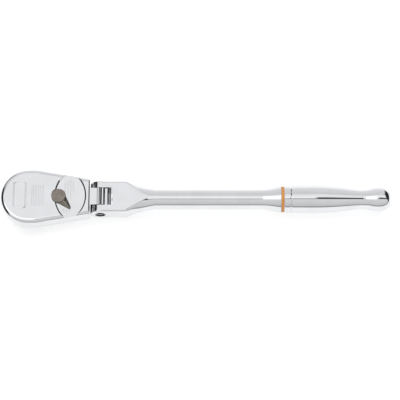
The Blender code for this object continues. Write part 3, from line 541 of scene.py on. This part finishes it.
def handleStations(h):
    edge, wide, high, shaft, ring = h["edge"], h["clevisHalf"], h["clevisHigh"], h["shaftR"], h["ring"]
    stations = []
    for degrees in noseAngles:
        tall = high * math.cos(math.radians(degrees))
        side = h["noseEdge"] + (edge - h["noseEdge"]) * 0.4 * math.cos(math.radians(degrees)) ** 4
        curve = min(side, tall * 0.9)
        x = pin.x - high * math.sin(math.radians(degrees))
        stations.append((x, section(wide - side, tall - curve, side, curve, ring)))
    block = section(wide - edge, high - edge, edge, edge, ring)
    stations += [(pin.x + h["blockFrom"], block), (h["blockEndX"], block)]
    # from the block to the round shaft the upper and lower flats narrow to a tip
    for i in range(1, h["taperSteps"] + 1):
        s = i / h["taperSteps"]
        eased = 0.5 * s + 0.5 * s * s * (3 - 2 * s)
        half = wide + (shaft - wide) * eased
        tall = high + (shaft - high) * s
        flatY = (wide - edge) * max(0.0, 1 - s / h["flatEnd"]) ** h["flatCurve"]
        flatZ = max(0.0, tall - edge - h["cornerGrow"] * s)
        boxed = section(flatY, flatZ, half - flatY, tall - flatZ, ring)
        milled = milledRound(half, tall, flatY, ring)
        share = min(1.0, s / h["boxedUntil"])
        x = h["blockEndX"] + (h["shaftStartX"] - h["blockEndX"]) * s
        stations.append((x, blend(boxed, milled, share * share * (3 - 2 * share))))
    band, lip, seat, groove = h["bandX"], h["bandLipR"], h["seatR"], h["grooveX"]
    bandEnd = band + h["bandWide"] + clearance
    line = [(0.1300, shaft), (0.1790, shaft)] + neckLine
    line += [(band - 0.0004, lip + 0.00002), (band - 0.0002, lip), (band - clearance, lip - 0.0001)]
    line += [(band - clearance, seat), (bandEnd, seat), (bandEnd, lip)]
    line += [(bandEnd + 0.0001, 0.01052), (bandEnd + 0.0003, 0.01056)]
    line += [(groove - 0.0002, 0.01063), (groove, 0.01058), (groove + 0.0002, 0.01030)]
    line += [(groove + 0.0005, h["grooveR"]), (groove + 0.0008, 0.01030)]
    line += [(groove + 0.0010, 0.01060), (groove + 0.0012, 0.01066)]
    line += gripLine + knobLine
    return stations + [(x, section(0, 0, r, r, ring)) for x, r in line]


def makeHandle(h):
    stations = handleStations(h)
    deselect()
    bpy.ops.mesh.primitive_circle_add(
        vertices=h["ring"], radius=h["shaftR"], fill_type="NGON", location=(stations[0][0], 0, pin.z),
        rotation=(0, math.pi / 2, 0),
    )
    handle = bpy.context.object
    handle.name = "handleBody"
    bpy.ops.object.transform_apply(location=True, rotation=True, scale=True)
    openMesh(handle)
    pick(handle, "VERT", lambda v: True)
    mesh = bmesh.from_edit_mesh(handle.data)
    ring = sorted(mesh.verts, key=lambda v: math.atan2(v.co.z - pin.z, v.co.y) % (2 * math.pi))
    x, points = stations[0]
    for v, (y, z) in zip(ring, points):
        v.co = (x, y, pin.z + z)
    bmesh.update_edit_mesh(handle.data)
    for (oldX, old), (newX, new) in zip(stations, stations[1:]):
        bpy.ops.mesh.extrude_region_move(TRANSFORM_OT_translate={"value": (newX - oldX, 0, 0)})
        mesh = bmesh.from_edit_mesh(handle.data)
        for v in mesh.verts:
            if v.select:
                y, z = v.co.y, v.co.z
                nearest = min(range(len(old)), key=lambda i: abs(old[i][0] - y) + abs(old[i][1] + pin.z - z))
                v.co.y, v.co.z = new[nearest][0], pin.z + new[nearest][1]
        bmesh.update_edit_mesh(handle.data)
    bpy.ops.mesh.merge(type="CENTER")
    closeMesh()
    cleanMesh(handle)
    return handle


handleBody = makeHandle(handleShape)


def finishHandle(handle, h):
    deselect()
    startX = pin.x - h["slotStart"]
    bpy.ops.mesh.primitive_cube_add(size=1, location=((startX + h["slotEndX"]) / 2, 0, pin.z))
    slotTool = bpy.context.object
    slotTool.scale = (h["slotEndX"] - startX, 2 * h["slotHalf"], h["slotTall"])
    bpy.ops.object.transform_apply(location=True, rotation=True, scale=True)
    across = Vector((0, 0.02, 0))
    screwTool = drill("screwTool", boreR["hinge"], pin - across, pin + across, "Y")
    screwMouth = drill("screwMouth", h["mouthR"], pin - across, pin - Vector((0, h["mouthDeep"], 0)), "Y")
    nutTool = drill("nutTool", h["nutBoreR"], pin + Vector((0, h["nutSeat"], 0)), pin + across, "Y")
    start, end = (h["slotEndX"] - overlap, 0, pin.z), (h["plungerBoreEnd"], 0, pin.z)
    plungerTool = drill("plungerTool", boreR["flexPlunger"], start, end, "X", 40)
    cutAway(handle, slotTool, screwTool, screwMouth, nutTool, plungerTool)
    cleanMesh(handle)
    smooth(handle)
    return finishPiece(handle, "handle", "polished_chrome", chrome, "handle")


finishHandle(handleBody, handleShape)
print("handle done")

# grip band

bandShape = {"innerR": 0.00935, "outerR": 0.01005, "edge": 0.00022}


def makeBand(b, x, width):
    inner, outer, edge = b["innerR"], b["outerR"], b["edge"]
    profile = [(inner, 0), (outer - edge, 0), (outer - 0.3 * edge, 0.3 * edge), (outer, edge)]
    profile += [(outer + 0.00003, width / 2), (outer, width - edge), (outer - 0.3 * edge, width - 0.3 * edge)]
    profile += [(outer - edge, width), (inner, width), (inner, 0)]
    band = spunPiece("gripBand", profile, (x, 0, pin.z), (1, 0, 0), (0, 0, 1), 96)
    smooth(band)
    return finishPiece(band, "handle", "orange_band", bandColour, "handle_band")


makeBand(bandShape, handleShape["bandX"], handleShape["bandWide"])

# hinge screw and nut

hingeShape = {
    "screwR": 0.0034, "screwEnd": 0.0096, "keyR": 0.0027, "keyDeep": 0.0025, "meet": 0.0084, "gap": 0.0003,
    "nutR": 0.0040, "nutEnd": 0.0134, "dishR": 0.0019, "dishDeep": 0.0002,
}


def hexTool(name, radius, centre, axisTurn, depth):
    deselect()
    bpy.ops.mesh.primitive_cylinder_add(
        vertices=6, radius=radius, depth=2 * depth, location=centre, rotation=axisTurn
    )
    tool = bpy.context.object
    tool.name = name
    bpy.ops.object.transform_apply(location=True, rotation=True, scale=True)
    return tool


def makeHingeScrew(s):
    end, r, foot = s["screwEnd"], s["screwR"], s["gap"] - s["meet"]
    profile = [(0, foot), (r - 0.0003, foot), (r, foot + 0.0003), (r, end - 0.0004)]
    profile += [(r - 0.0001, end - 0.00015), (r - 0.0004, end), (0, end)]
    screw = spunPiece("hingeScrew", profile, pin, (0, -1, 0), (1, 0, 0), 64)
    key = hexTool("key", s["keyR"], pin - Vector((0, end, 0)), (math.pi / 2, 0, 0), s["keyDeep"])
    cutAway(screw, key)
    smooth(screw)
    finishPiece(screw, "handle", "black_screw", blackScrew, "flex_screw")
    r, end, foot = s["nutR"], s["nutEnd"], s["meet"] + s["gap"]
    profile = [(0, foot), (r, foot), (r, end - 0.0005), (r - 0.00015, end - 0.0002)]
    profile += [(r - 0.0005, end - 0.00003), (s["dishR"] + 0.0002, end)]
    profile += [(s["dishR"], end - s["dishDeep"]), (0, end - s["dishDeep"])]
    nut = spunPiece("hingeNut", profile, pin, (0, 1, 0), (1, 0, 0), 64)
    smooth(nut)
    finishPiece(nut, "handle", "polished_chrome", chrome, "flex_nut")


makeHingeScrew(hingeShape)
print("hinge done")

# cover plate and its screws

plateShape = {
    "frontR": 0.0171, "rearR": 0.0085, "rearX": 0.0290, "low": 0.0159, "thick": 0.0018, "edge": 0.00035,
    "holeR": 0.01005, "holeEdge": 0.0003,
}
coverScrewShape = {
    "headR": 0.0016, "bodyR": 0.0010, "sink": 0.0008, "length": 0.0052, "keyR": 0.0008, "keyDeep": 0.0006,
    "threads": 8, "pitch": 0.0005, "threadDeep": 0.00012,
}


def makePlate(p, c):
    low, high = p["low"], p["low"] + p["thick"]
    plate = slab("coverPlate", pear(p["frontR"], p["rearX"], p["rearR"]), low, high)
    rounded(plate, onLevel(low), p["edge"], 3)
    collarHole = drill("collarHole", p["holeR"], (0, 0, low - reach), (0, 0, high + reach), sides=96)
    start, end = (pawlAxis.x, 0, low + 0.0001), (pawlAxis.x, 0, high + reach)
    cutAway(plate, collarHole, drill("pinSeat", boreR["pawlPin"], start, end, sides=24))
    for x, y in screwSpots:
        widest, narrow = c["headR"] + clearance, c["bodyR"] + clearance
        profile = [(0, -reach), (widest, -reach), (widest, clearance), (narrow, c["sink"] + clearance)]
        profile += [(narrow, p["thick"] + reach), (0, p["thick"] + reach)]
        cutAway(plate, spunPiece("sink", profile, (x, y, low), (0, 0, 1), (1, 0, 0), 32))

    def holeRim(e):
        return onLevel(low)(e) and all(abs(v.co.xy.length - p["holeR"]) < clearance for v in e.verts)

    rounded(plate, holeRim, p["holeEdge"], 2)
    smooth(plate)
    return finishPiece(plate, "head", "polished_chrome", chrome, "cover_plate")


def makeCoverScrews(p, c):
    r, body, length = c["headR"], c["bodyR"], c["length"]
    profile = [(0, 0), (r - 0.00015, 0), (r, 0.0001), (body, c["sink"])]
    for i in range(c["threads"]):
        along = c["sink"] + 0.0004 + i * c["pitch"]
        profile += [(body, along), (body - c["threadDeep"], along + c["pitch"] / 2)]
    profile += [(body - 0.0003, length), (0, length)]
    first = spunPiece("coverScrew1", profile, (0, 0, p["low"]), (0, 0, 1), (1, 0, 0), 32)
    cutAway(first, hexTool("key", c["keyR"], (0, 0, p["low"]), (0, 0, 0), c["keyDeep"]))
    smooth(first)
    for i, (x, y) in enumerate(screwSpots):
        screw = first.copy()
        screw.data = first.data.copy()
        bpy.context.collection.objects.link(screw)
        screw.name = f"capScrew{i + 1}"
        putAt(screw, (x, y, 0))
        finishPiece(screw, "head", "black_screw", blackScrew, f"cover_screw_{i + 1}")
    bpy.data.objects.remove(first, do_unlink=True)


makePlate(plateShape, coverScrewShape)
makeCoverScrews(plateShape, coverScrewShape)
print("cover plate done")

# drive

driveShape = {
    "teeth": 84, "tipR": 0.0126, "rootR": 0.0120, "tipShare": 0.12, "low": 0.0183, "high": 0.0229,
    "collarR": 0.0099, "journalR": 0.0074, "journalTop": 0.0260, "half": 0.00635, "squareLong": 0.0150,
    "corner": 0.0011, "endEdge": 0.0009, "ballR": 0.0020, "ballZ": 0.0075, "ballProud": 0.0009,
    "ballHoleDeep": 0.0098, "ballLip": 0.00025, "ballGrip": 0.00008,
}


def makeDrive(d):
    outline = []
    for i in range(d["teeth"]):
        for share, radius in ((-0.5, d["rootR"]), (-d["tipShare"], d["tipR"]), (d["tipShare"], d["tipR"])):
            angle = 2 * math.pi * (i + share) / d["teeth"]
            outline.append((radius * math.cos(angle), radius * math.sin(angle)))
    drive = slab("driveGear", outline, d["low"], d["high"])
    r, bottom = d["collarR"], d["squareLong"]
    profile = [(0, bottom), (r - 0.0006, bottom), (r - 0.0002, bottom + 0.00015), (r, bottom + 0.0005)]
    profile += [(r, d["low"] + overlap), (0, d["low"] + overlap)]
    collar = spunPiece("collar", profile, (0, 0, 0), (0, 0, 1), (1, 0, 0), 96)
    journal = drill("journal", d["journalR"], (0, 0, d["high"] - overlap), (0, 0, d["journalTop"]), sides=64)
    half = d["half"]
    square = slab("square", [(-half, -half), (half, -half), (half, half), (-half, half)], 0, bottom + overlap)
    rounded(square, upright, d["corner"], 6)
    rounded(square, onLevel(0), d["endEdge"], 4)
    weld(drive, collar, journal, square)
    r, lip, mouth, deep = d["ballR"], d["ballLip"], d["ballR"] - d["ballGrip"], d["ballHoleDeep"]
    profile = [(0, -reach), (mouth, -reach), (mouth, lip), (r + clearance, lip)]
    profile += [(r + clearance, deep), (0, deep)]
    cutAway(drive, spunPiece("ballHole", profile, (0, -half, d["ballZ"]), (0, 1, 0), (1, 0, 0), 40))
    dimple = spunPiece(
        "dimple", [(0, -0.001), (0.0011, -0.001), (0.0011, 0.0), (0.0004, 0.0007), (0, 0.0008)],
        (0, 0, 0), (0, 0, 1), (1, 0, 0), 32,
    )
    cutAway(drive, dimple)
    cleanMesh(drive)
    smooth(drive)
    finishPiece(drive, "drive", "tool_steel", toolSteel, "drive_gear")
    deselect()
    ballY = -half + r - d["ballProud"]
    bpy.ops.mesh.primitive_ico_sphere_add(subdivisions=5, radius=r, location=(0, ballY, d["ballZ"]))
    ball = bpy.context.object
    ball.name = "holdingBall"
    bpy.ops.object.transform_apply(location=True, rotation=True, scale=True)
    # the balls are ground with a small flat where the spring bears
    openMesh(ball)
    pick(ball, "VERT", lambda v: True)
    bpy.ops.mesh.bisect(
        plane_co=(0, ballY + r - d["ballGrip"], d["ballZ"]), plane_no=(0, 1, 0), use_fill=True, clear_outer=True
    )
    closeMesh()
    smooth(ball, 40)
    finishPiece(ball, "drive_ball", "tool_steel", toolSteel, "drive_ball")


makeDrive(driveShape)
print("drive done")

# reversing lever

leverShape = {
    "capR": 0.0056, "tabR": 0.0052, "tip": 0.0138, "tipR": 0.0011, "low": 0.0279, "high": 0.0296, "swing": 48,
    "edge": 0.0005, "ridge": 0.13, "ridgeDrop": 0.00025, "ribs": 4, "ribFrom": 0.0072, "ribStep": 0.0014,
    "stemR": 0.0038, "camR": 0.0033, "neckR": 0.0029, "camLow": 0.0185, "camHigh": 0.0232, "neckHigh": 0.0239,
    "noseR": 0.00135, "noseZ": 0.02075, "boreMouth": -0.0052, "boreFloor": 0.0022, "ribWide": 0.0006,
}


def onTop(level):
    return lambda v: abs(v.co.z - level) < 1e-6


def wedge(name, outline, low, high, ridge, pullBack=1.0):
    # an outline whose upper side is drawn in to a narrow ridge along x
    piece = slab(name, outline, low, high)
    openMesh(piece)
    pick(piece, "VERT", onTop(high))
    bpy.ops.transform.resize(value=(pullBack, ridge, 1), center_override=(0, 0, high))
    closeMesh()
    return piece


def makeLever(l):
    low, high, edge = l["low"], l["high"], l["edge"]
    profile = [(0, low), (l["capR"] - 0.0002, low), (l["capR"], low + 0.0002)]
    for i in range(6):
        turn = math.radians(18 * i)
        profile.append((l["capR"] - edge + edge * math.cos(turn), high - edge + edge * math.sin(turn)))
    cap = spunPiece("thumbLever", profile + [(0, high)], (0, 0, 0), (0, 0, 1), (1, 0, 0), 96)
    # the thumb tab is a ridge that falls away on both sides to the tip
    lean = math.asin((l["tabR"] - l["tipR"]) / (l["tip"] - l["tipR"]))
    degrees = math.degrees(lean)
    half = arc(l["tip"] - l["tipR"], 0, l["tipR"], 0, 90 - degrees, 8)
    half += arc(0, 0, l["tabR"], 90 - degrees, 110, 6)
    tab = wedge("tab", bothSides(half), low + 0.0001, high - l["ridgeDrop"], l["ridge"], 0.95)
    # grip ribs cross the side that the thumb pushes
    ribs = []
    for i in range(l["ribs"]):
        x = l["ribFrom"] + l["ribStep"] * i
        wide = (l["tabR"] - x * math.sin(lean)) / math.cos(lean) + 0.0001
        outline = [(x, 0.0001), (x + l["ribWide"], 0.0001), (x + l["ribWide"], wide), (x, wide)]
        ribs.append(wedge(f"rib{i}", outline, low + 0.0003, high - l["ridgeDrop"] + 0.0001, l["ridge"] * 1.6))
    weld(cap, tab, *ribs)
    stem, cam, neck = l["stemR"], l["camR"], l["neckR"]
    profile = [(0, l["camLow"]), (cam, l["camLow"]), (cam, l["camHigh"]), (neck, l["camHigh"])]
    profile += [(neck, l["neckHigh"]), (stem, l["neckHigh"]), (stem, low + overlap), (0, low + overlap)]
    weld(cap, spunPiece("stem", profile, (0, 0, 0), (0, 0, 1), (1, 0, 0), 56))
    start, end = (l["boreMouth"], 0, l["noseZ"]), (l["boreFloor"], 0, l["noseZ"])
    cutAway(cap, drill("plungerBore", l["noseR"], start, end, "X", 32))
    cleanMesh(cap)
    openMesh(cap)
    bpy.ops.mesh.select_all(action="SELECT")
    # without a window the turn runs the other way, so this brings the tip to the front
    bpy.ops.transform.rotate(value=math.radians(l["swing"]), orient_axis="Z", center_override=(0, 0, 0))
    bpy.ops.transform.translate(value=(leverAxis.x, 0, 0))
    closeMesh()
    smooth(cap)
    return finishPiece(cap, "lever", "warm_satin_metal", satin, "reversing_lever")


makeLever(leverShape)
print("lever done")

# raised marks on the head and fine lines in its pocket

markShape = {
    "sink": 0.0003, "rise": 0.0004, "line": 0.0009, "frameRound": 0.0022, "edge": 0.0003, "frameFloor": 0.85,
    "lineRise": 0.00022, "lineWide": 0.0003, "barWide": 0.0007, "barTall": 0.0085, "barX": 0.0028,
    "barStep": 0.0026, "bars": 4,
}
headTop, pocketFloor = headHigh.z, headShape["pocketFloor"]


def box2d(x, y, wide, tall):
    return [(x - wide, y - tall), (x + wide, y - tall), (x + wide, y + tall), (x - wide, y + tall)]


def frameMark(name, x, y, wide, tall, m):
    # a plain raised frame with rounded corners
    top = headTop + m["rise"]
    mark = slab(name, box2d(x, y, wide, tall), headTop - m["sink"], top)
    rounded(mark, upright, m["frameRound"], 6)
    openMesh(mark)
    pick(mark, "FACE", lambda f: f.normal.z > 0.9)
    bpy.ops.mesh.inset(thickness=m["line"], depth=0)
    bpy.ops.mesh.extrude_region_move(TRANSFORM_OT_translate={"value": (0, 0, -m["rise"] * m["frameFloor"])})
    closeMesh()
    rounded(mark, onLevel(top), m["edge"], 2)
    cleanMesh(mark)
    smooth(mark)
    return finishPiece(mark, "head", "polished_chrome", chrome)


def barMark(name, x, y, wide, tall, level, rise):
    bar = slab(name, box2d(x, y, wide, tall), level - markShape["sink"], level + rise)
    rounded(bar, upright, wide * 0.9, 4)
    rounded(bar, onLevel(level + rise), rise * 0.8, 2)
    smooth(bar)
    return finishPiece(bar, "head", "polished_chrome", chrome)


frameMark("plainFrame", -0.0074, 0.0006, 0.0051, 0.0110, markShape)
wide, tall = markShape["barWide"], markShape["barTall"]
for i in range(markShape["bars"]):
    x = markShape["barX"] + markShape["barStep"] * i
    barMark(f"gripBar{i + 1}", x, 0.0004, wide, tall, headTop, markShape["rise"])
fineLines = [  # place in x and y, and half the length
    (0.0278, 0.0062, 0.0056), (0.0301, 0.0058, 0.0074), (0.0323, 0.0056, 0.0080), (0.0341, 0.0085, 0.0042),
    (0.0270, -0.0117, 0.0013), (0.0291, -0.0126, 0.0011), (0.0315, -0.0117, 0.0008),
]
for i, (x, y, tall) in enumerate(fineLines):
    barMark(f"fineLine{i + 1}", x, y, markShape["lineWide"], tall, pocketFloor, markShape["lineRise"])
print("marks done")

# floor, light and camera

studio = {
    "floorZ": -0.0002, "floorSize": 3.0, "floorColour": (0.55, 0.552, 0.556, 1), "floorGlow": 0.62,
    "lightPower": 10, "lightSize": 1.6, "lightPlace": (0.13, 0.35, 1.5), "lightAim": (0.13, 0, 0), "pale": 1.05,
}
# the tones that the chrome mirrors, by degrees from overhead towards the back
roomTones = [
    (-90, 0.52), (-80, 0.66), (-72, 0.74), (-60, 0.77), (-48, 0.81), (-36, 0.85), (-24, 0.87), (-9, 0.88),
    (0, 0.95), (6, 1.07), (21.6, 1.07), (24.5, 0.82), (36, 0.82), (47, 0.86), (61, 0.91), (77, 0.93), (90, 1.0),
]
# each zone fades in between two values, and strips hold their two edges in degrees and their strength
roomZones = {
    "right": (0.06, 0.10), "left": (-0.09, -0.035), "bright": (-9, 2, 0.30), "leftPanel": (-20, 14, 0.40),
    "rightGap": (-16, -4, 0.92), "middleGap": (-17, -11, 0.40), "lift": 0.35,
    "rightEnd": {"aim": (0.93, 0.36), "from": (0.62, 0.74), "upTo": (0.62, 0.76), "dark": 0.97},
    "leftEnd": {"aim": (-0.956, 0.292), "from": (0.52, 0.64), "upTo": (0.70, 0.78), "dark": 0.97},
    "frontEdge": {"from": (0.15, 0.4), "upTo": (0.06, 0.20), "dark": 0.50},
    "clearBack": {"from": (0.5, 0.6), "above": (0.33, 0.39)},
}
deselect()
bpy.ops.mesh.primitive_plane_add(size=studio["floorSize"], location=(0.13, 0, studio["floorZ"]))
floor = bpy.context.object
floor.name = "paleFloor"
floorFinish = bpy.data.materials.new("paleFloor")
floorFinish.use_nodes = True
floorShader = floorFinish.node_tree.nodes["Principled BSDF"]
floorShader.inputs["Base Color"].default_value = studio["floorColour"]
floorShader.inputs["Emission Color"].default_value = (1.0, 1.0, 1.0, 1)
floorShader.inputs["Emission Strength"].default_value = studio["floorGlow"]  # so the shadows stay faint
floorShader.inputs["Roughness"].default_value = 0.9
floorShader.inputs["Specular IOR Level"].default_value = 0.0
floor.data.materials.append(floorFinish)


def softLight(name, place, aim, size, power):
    data = bpy.data.lights.new(name, "AREA")
    data.shape = "DISK"
    data.size = size
    data.energy = power
    lamp = bpy.data.objects.new(name, data)
    bpy.context.scene.collection.objects.link(lamp)
    lamp.location = place
    lamp.rotation_euler = (Vector(aim) - Vector(place)).to_track_quat("-Z", "Y").to_euler()
    lamp.visible_glossy = False  # it lights the floor and stays out of the mirror finish
    return lamp


softLight("overheadLight", studio["lightPlace"], studio["lightAim"], studio["lightSize"], studio["lightPower"])


def paintStudio(zones):
    # the room that the chrome mirrors: a bright overhead strip, grey back and front, dark ends and front edge
    world = bpy.data.worlds.new("studioRoom")
    bpy.context.scene.world = world
    world.use_nodes = True
    tree = world.node_tree
    node, link = tree.nodes.new, tree.links.new
    place = node("ShaderNodeTexCoord")
    parts = node("ShaderNodeSeparateXYZ")
    link(place.outputs["Generated"], parts.inputs["Vector"])

    def sums(kind, a, b=None, c=None):
        made = node("ShaderNodeMath")
        made.operation = kind
        for socket, value in zip(made.inputs, (a, b, c)):
            if value is None:
                continue
            if isinstance(value, (int, float)):
                socket.default_value = value
            else:
                link(value, socket)
        return made.outputs["Value"]

    def fade(value, low, high):
        made = node("ShaderNodeMapRange")
        made.interpolation_type = "SMOOTHSTEP"
        link(value, made.inputs["Value"])
        made.inputs["From Min"].default_value = low
        made.inputs["From Max"].default_value = high
        return made.outputs["Result"]

    def other(value):
        return sums("SUBTRACT", 1.0, value)

    def both(first, *rest):
        for value in rest:
            first = sums("MULTIPLY", first, value)
        return first

    x, y, z = (parts.outputs[name] for name in "XYZ")
    lean = sums("MULTIPLY", sums("ARCTAN2", y, z), 180 / math.pi)  # degrees from overhead, towards the back

    def stripe(low, high, soft=2.0):
        return both(fade(lean, low - soft, low), other(fade(lean, high, high + soft)))

    across = sums("MULTIPLY_ADD", lean, 1 / 180, 0.5)
    ramp = node("ShaderNodeValToRGB")
    while len(ramp.color_ramp.elements) < len(roomTones):
        ramp.color_ramp.elements.new(0.5)
    for element, (degrees, value) in zip(ramp.color_ramp.elements, roomTones):
        element.position = degrees / 180 + 0.5
        element.color = (value, value, value * 1.01, 1)
    link(across, ramp.inputs["Fac"])

    # overhead, the left side is a broad bright panel, the middle a thin strip and the right side a dark gap
    right = fade(x, *zones["right"])
    left = other(fade(x, *zones["left"]))
    middle = both(other(right), other(left))

    def strip(name, where):
        low, high, strength = zones[name]
        return both(stripe(low, high), where, strength)

    bright = sums("ADD", strip("bright", other(right)), strip("leftPanel", left))
    gap = sums("ADD", strip("rightGap", right), strip("middleGap", middle))

    flat = sums("SQRT", sums("ADD", both(x, x), both(y, y)))
    flat = sums("MAXIMUM", flat, 0.001)
    lift = both(z, zones["lift"])

    def darkEnd(zone):
        aimX, aimY = zone["aim"]
        towards = sums("DIVIDE", sums("MULTIPLY_ADD", x, aimX, both(y, aimY)), flat)
        inside = fade(sums("SUBTRACT", towards, lift), *zone["from"])
        return both(inside, other(fade(z, *zone["upTo"])), zone["dark"])

    # the left end stays open at the upper back, where the head's flat top looks in some views
    clear, front = zones["clearBack"], zones["frontEdge"]
    leftEnd = both(darkEnd(zones["leftEnd"]), other(both(fade(y, *clear["from"]), fade(z, *clear["above"]))))
    frontEdge = both(fade(both(y, -1.0), *front["from"]), other(fade(z, *front["upTo"])), front["dark"])
    dark = sums("MAXIMUM", sums("MAXIMUM", darkEnd(zones["rightEnd"]), leftEnd), frontEdge)
    keep = both(other(dark), other(gap))

    glow = node("ShaderNodeVectorMath")
    glow.operation = "ADD"
    link(ramp.outputs["Color"], glow.inputs[0])
    link(bright, glow.inputs[1])
    room = node("ShaderNodeVectorMath")
    room.operation = "SCALE"
    link(glow.outputs["Vector"], room.inputs[0])
    link(keep, room.inputs["Scale"])
    # the backdrop itself stays plain
    rays = node("ShaderNodeLightPath")
    mix = node("ShaderNodeMix")
    mix.data_type = "RGBA"
    link(rays.outputs["Is Camera Ray"], mix.inputs["Factor"])
    link(room.outputs["Vector"], mix.inputs[6])
    mix.inputs[7].default_value = (studio["pale"], studio["pale"], studio["pale"] * 1.01, 1)
    link(mix.outputs[2], tree.nodes["Background"].inputs["Color"])
    tree.nodes["Background"].inputs["Strength"].default_value = 1.0


paintStudio(roomZones)

cameraPlace = {
    "aim": (0.1329, -0.0005, 0.0204), "elevation": 70, "distance": 1.5, "width": 0.3126, "sensor": 36,
}
elevation = math.radians(cameraPlace["elevation"])
back = Vector((0, -math.cos(elevation), math.sin(elevation)))
cameraData = bpy.data.cameras.new("viewCamera")
cameraData.sensor_width = cameraPlace["sensor"]
cameraData.lens = cameraPlace["sensor"] * cameraPlace["distance"] / cameraPlace["width"]
cameraData.clip_start = 0.01
camera = bpy.data.objects.new("viewCamera", cameraData)
bpy.context.scene.collection.objects.link(camera)
camera.location = Vector(cameraPlace["aim"]) + back * cameraPlace["distance"]
camera.rotation_euler = (-back).to_track_quat("-Z", "Y").to_euler()
bpy.context.scene.camera = camera
bpy.context.scene.view_settings.view_transform = "Standard"
print("studio ready")
